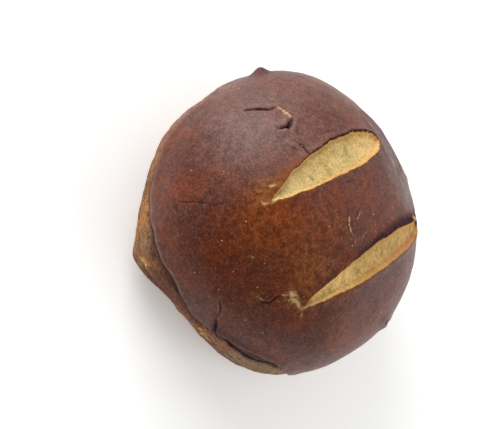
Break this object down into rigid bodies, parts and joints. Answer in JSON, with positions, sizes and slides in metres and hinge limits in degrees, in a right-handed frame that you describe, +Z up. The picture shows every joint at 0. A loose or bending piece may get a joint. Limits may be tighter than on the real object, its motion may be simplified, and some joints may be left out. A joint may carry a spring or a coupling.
{
  "type": "pretzel roll",
  "caption": "A round pretzel roll with a dark lye crust, long open slashes of pale crumb on top and a paler side band folded under the crust, standing on its flat base.",
  "frame": {"origin": "middle of the flat base, on the surface the roll stands on", "axes": "+Z up through the dome; the slashes run roughly along Y; +X is the side with the second slash"},
  "size_m": [0.097, 0.0948, 0.0527],
  "materials": {
    "crust": "satin"
  },
  "bodies": {
    "root": {"roll": "crust"}
  },
  "joints": []
}
